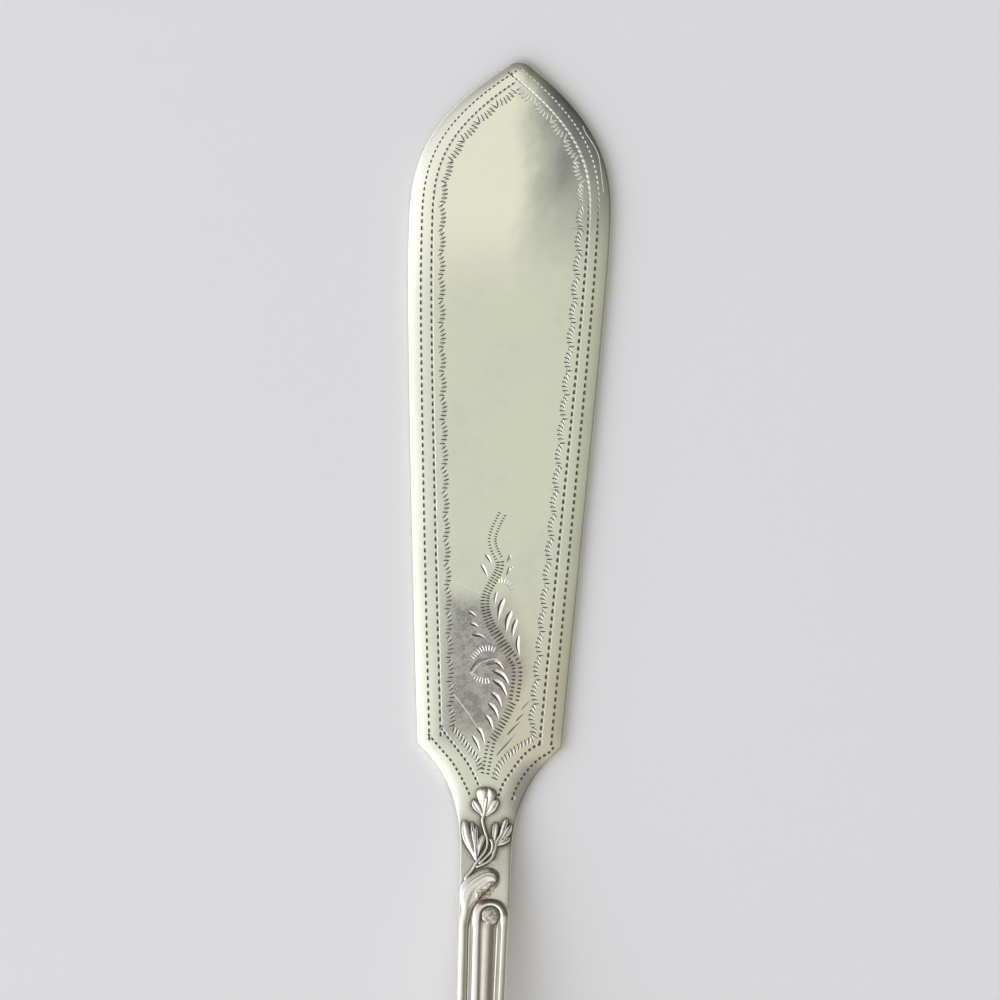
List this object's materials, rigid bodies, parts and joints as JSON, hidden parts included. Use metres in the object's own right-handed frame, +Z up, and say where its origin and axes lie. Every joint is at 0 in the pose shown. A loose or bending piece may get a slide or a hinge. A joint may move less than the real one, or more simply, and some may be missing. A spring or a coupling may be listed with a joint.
{
  "type": "master butter knife",
  "caption": "Flat butter serving knife with a pointed, engraved blade, concave shoulders, a leaf sprig at the neck and a bowed handle edged with half-round threads.",
  "frame": {"origin": "on the table, under the middle of the knife's length and width, with the knife lying on its blade", "axes": "+Y along the knife towards the blade's tip, +Z up out of the decorated face"},
  "size_m": [0.0221, 0.184, 0.0091],
  "materials": {
    "blade_silver": "worn silver plate, softly polished, with fine scratches and bright-cut engraving",
    "handle_silver": "worn silver plate, softly polished, tarnished in the recesses",
    "ornament_silver": "worn silver plate, rubbed bright on the crests and dark in the creases"
  },
  "bodies": {
    "root": {"blade": "blade_silver", "handle": "handle_silver", "edge_tendril": "ornament_silver", "loop_thread": "ornament_silver", "loop_bead": "ornament_silver", "panel_rib": "ornament_silver", "top_leaf": "ornament_silver", "left_leaf": "ornament_silver", "right_leaf": "ornament_silver"}
  },
  "joints": []
}
